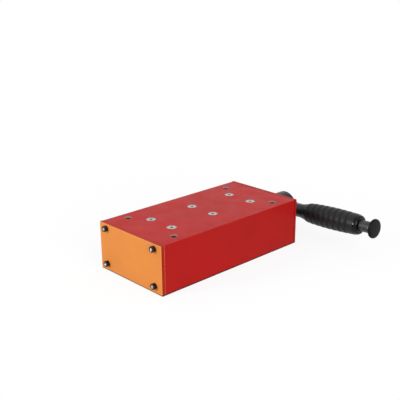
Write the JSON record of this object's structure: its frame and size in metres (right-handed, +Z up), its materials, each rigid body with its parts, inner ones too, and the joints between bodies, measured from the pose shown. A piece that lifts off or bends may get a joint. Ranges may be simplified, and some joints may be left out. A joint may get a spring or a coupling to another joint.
{
  "type": "magnetic base",
  "caption": "Switchable magnetic workholding base: painted steel yoke, pole shoes underneath, rotor turned by a rear lever with a locking plunger in its grip.",
  "frame": {"origin": "middle of the magnetic working face at the underside", "axes": "+Z up to the face that carries the vice or fixture; Y along the body, with the lever at the +Y end and the plain end plate at -Y; the lever lies along +X at rest"},
  "size_m": [0.2022, 0.282, 0.058],
  "materials": {
    "red_paint": "smooth semi-gloss red enamel",
    "orange_paint": "smooth semi-gloss orange enamel",
    "black_screws": "black oxide, slightly worn",
    "ground_steel": "surface ground along the length",
    "brass_strip": "ground flush",
    "aluminium": "milled",
    "nickel_magnet": "nickel plated",
    "stainless_steel": "stainless, bright",
    "bronze": "sintered bronze",
    "seal_rubber": "matt",
    "turned_steel": "turned, lightly oiled",
    "black_oxide": "black oxide, satin",
    "grip_rubber": "moulded, satin",
    "gloss_black": "glossy black",
    "knob_black": "satin black"
  },
  "bodies": {
    "base": {"yoke_housing": "red_paint", "front_plate": "orange_paint", "rear_plate": "red_paint", "front_plate_screws": "black_screws", "rear_plate_screws": "black_screws", "pole_shoe_left": "ground_steel", "pole_shoe_right": "ground_steel", "pole_separator": "brass_strip", "top_insulator": "aluminium", "fixed_magnets_left": "nickel_magnet", "fixed_magnets_right": "nickel_magnet", "filler_strips": "brass_strip", "pole_shoe_screws": "stainless_steel", "front_bearing_carrier": "aluminium", "rear_bearing_carrier": "aluminium", "front_bush": "bronze", "rear_bush": "bronze", "thrust_washers": "bronze", "shaft_seal": "seal_rubber", "index_flange": "turned_steel", "index_flange_screws": "black_screws", "stop_pin": "turned_steel"},
    "lever": {"rotor_segments": "turned_steel", "rotor_magnets": "nickel_magnet", "rotor_spacers": "brass_strip", "rotor_cap_screws": "stainless_steel", "front_rotor_cap": "stainless_steel", "drive_shaft": "turned_steel", "shaft_key": "turned_steel", "lever_hub": "black_oxide", "hub_washer": "turned_steel", "hub_screw": "black_screws", "lever_tube": "black_oxide", "grip": "grip_rubber", "grip_collar": "gloss_black"},
    "plunger": {"lock_pin": "turned_steel", "plunger_rod": "black_oxide", "detent_ring": "seal_rubber", "plunger_knob": "knob_black"}
  },
  "joints": [
    {"name": "lever_turn", "type": "hinge", "parent": "base", "child": "lever", "pos_m": [0, 0.144, 0.028], "axis": [0, -1, 0], "range_deg": [0, 180]},
    {"name": "plunger_slide", "type": "slide", "parent": "lever", "child": "plunger", "axis": [0.9989, 0, 0.0471], "range_m": [-0.0055, 0]}
  ]
}
